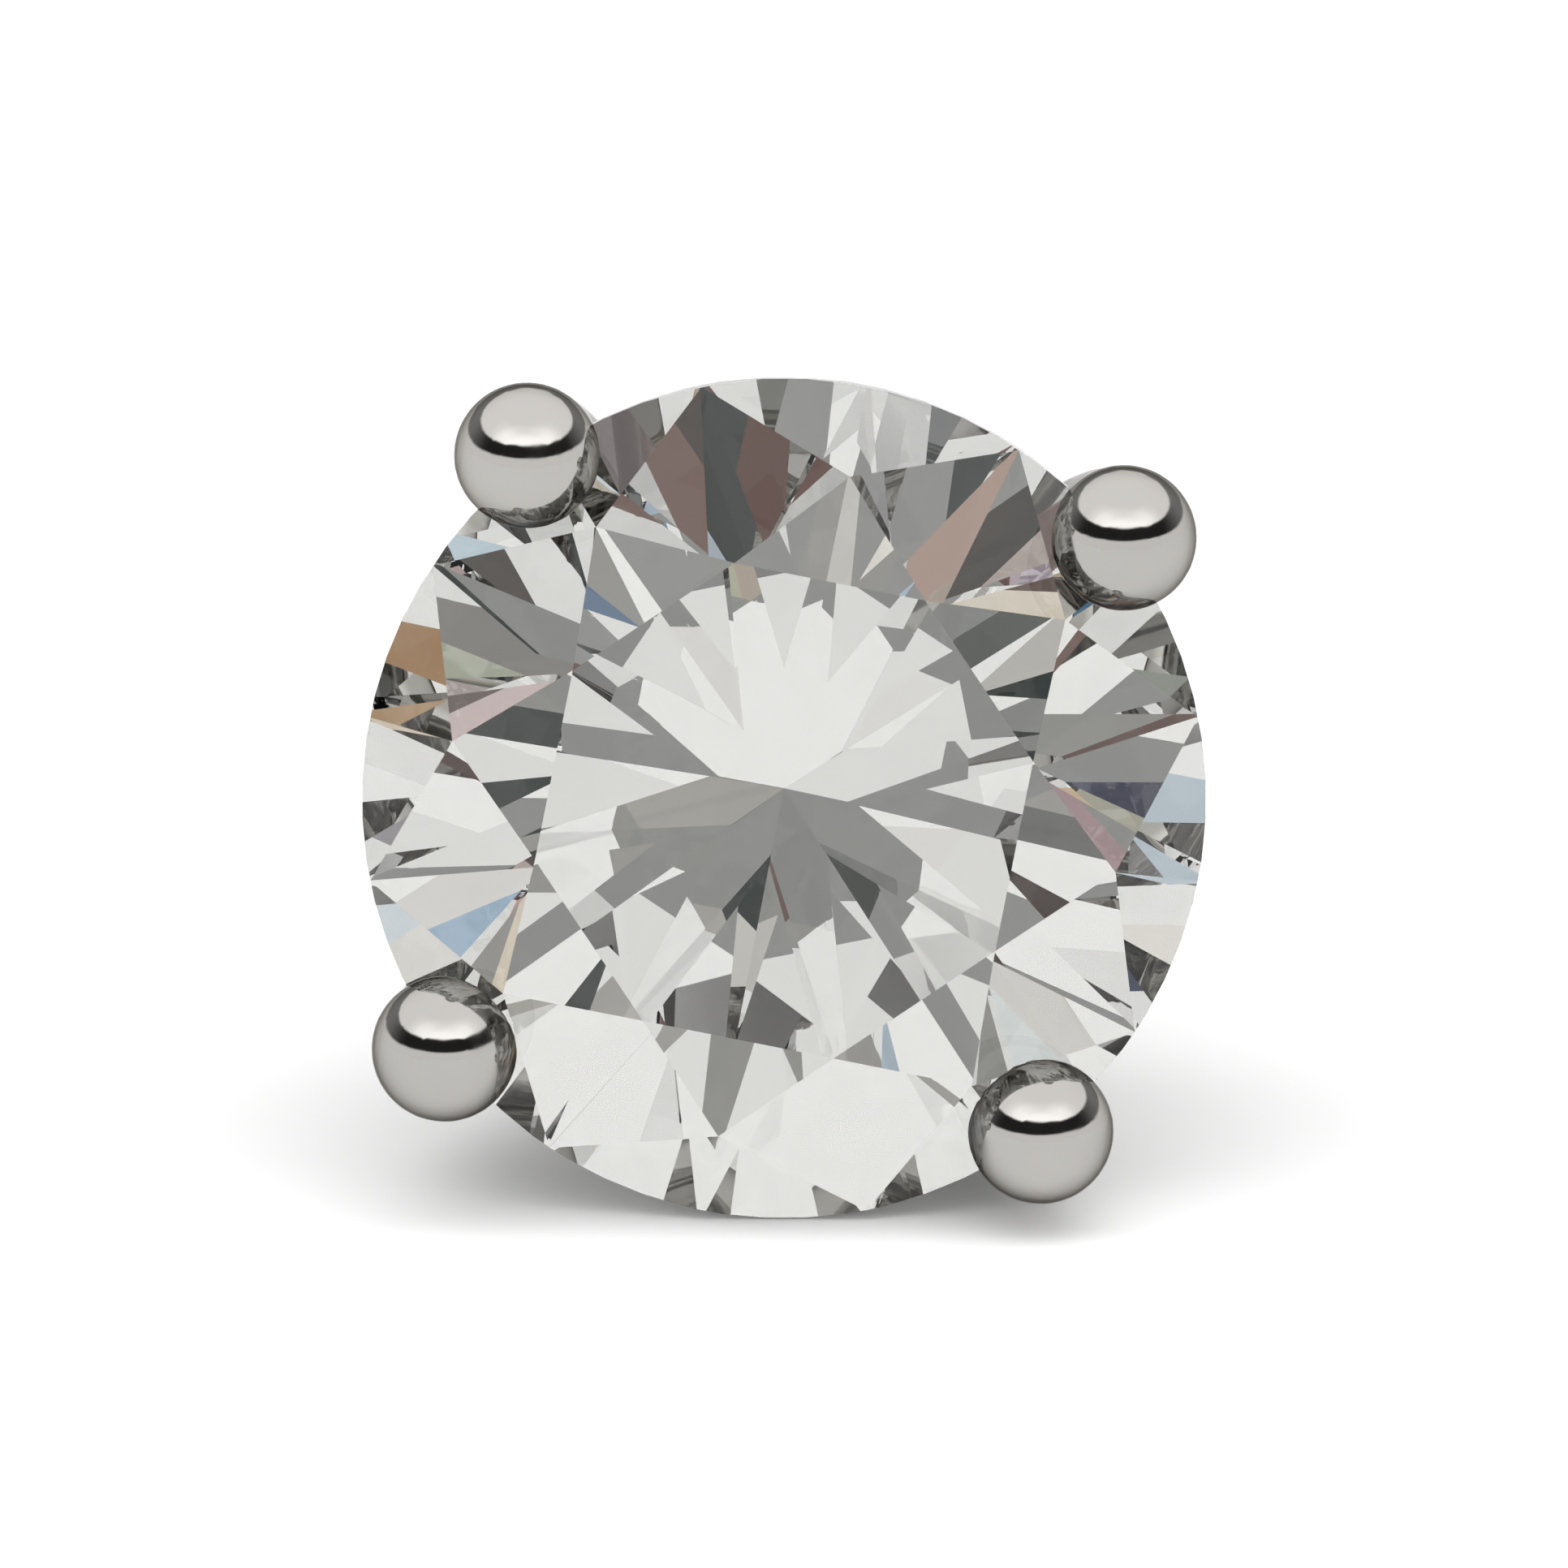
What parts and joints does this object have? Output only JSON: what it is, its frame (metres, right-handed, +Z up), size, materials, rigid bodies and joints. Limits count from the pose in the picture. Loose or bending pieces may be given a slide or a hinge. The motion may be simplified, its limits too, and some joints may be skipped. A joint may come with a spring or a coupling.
{
  "type": "stud earring",
  "caption": "Stud earring: a round brilliant-cut stone held by balled claws in an openwork basket, with a straight ear post soldered to the basket's flat back plate.",
  "frame": {"origin": "on the table it rests on, under the middle of the stud's bounding box", "axes": "+Z up, -Y the way the face of the stone looks, +Y along the table towards the tip of the post, +X to the right of someone who faces the stone"},
  "size_m": [0.0052, 0.0138, 0.0052],
  "materials": {
    "diamond": "clear, sharply cut and polished",
    "white_gold": "high polish, with fine handling scratches"
  },
  "bodies": {
    "root": {"stone": "diamond", "claw_setting": "white_gold"}
  },
  "joints": []
}
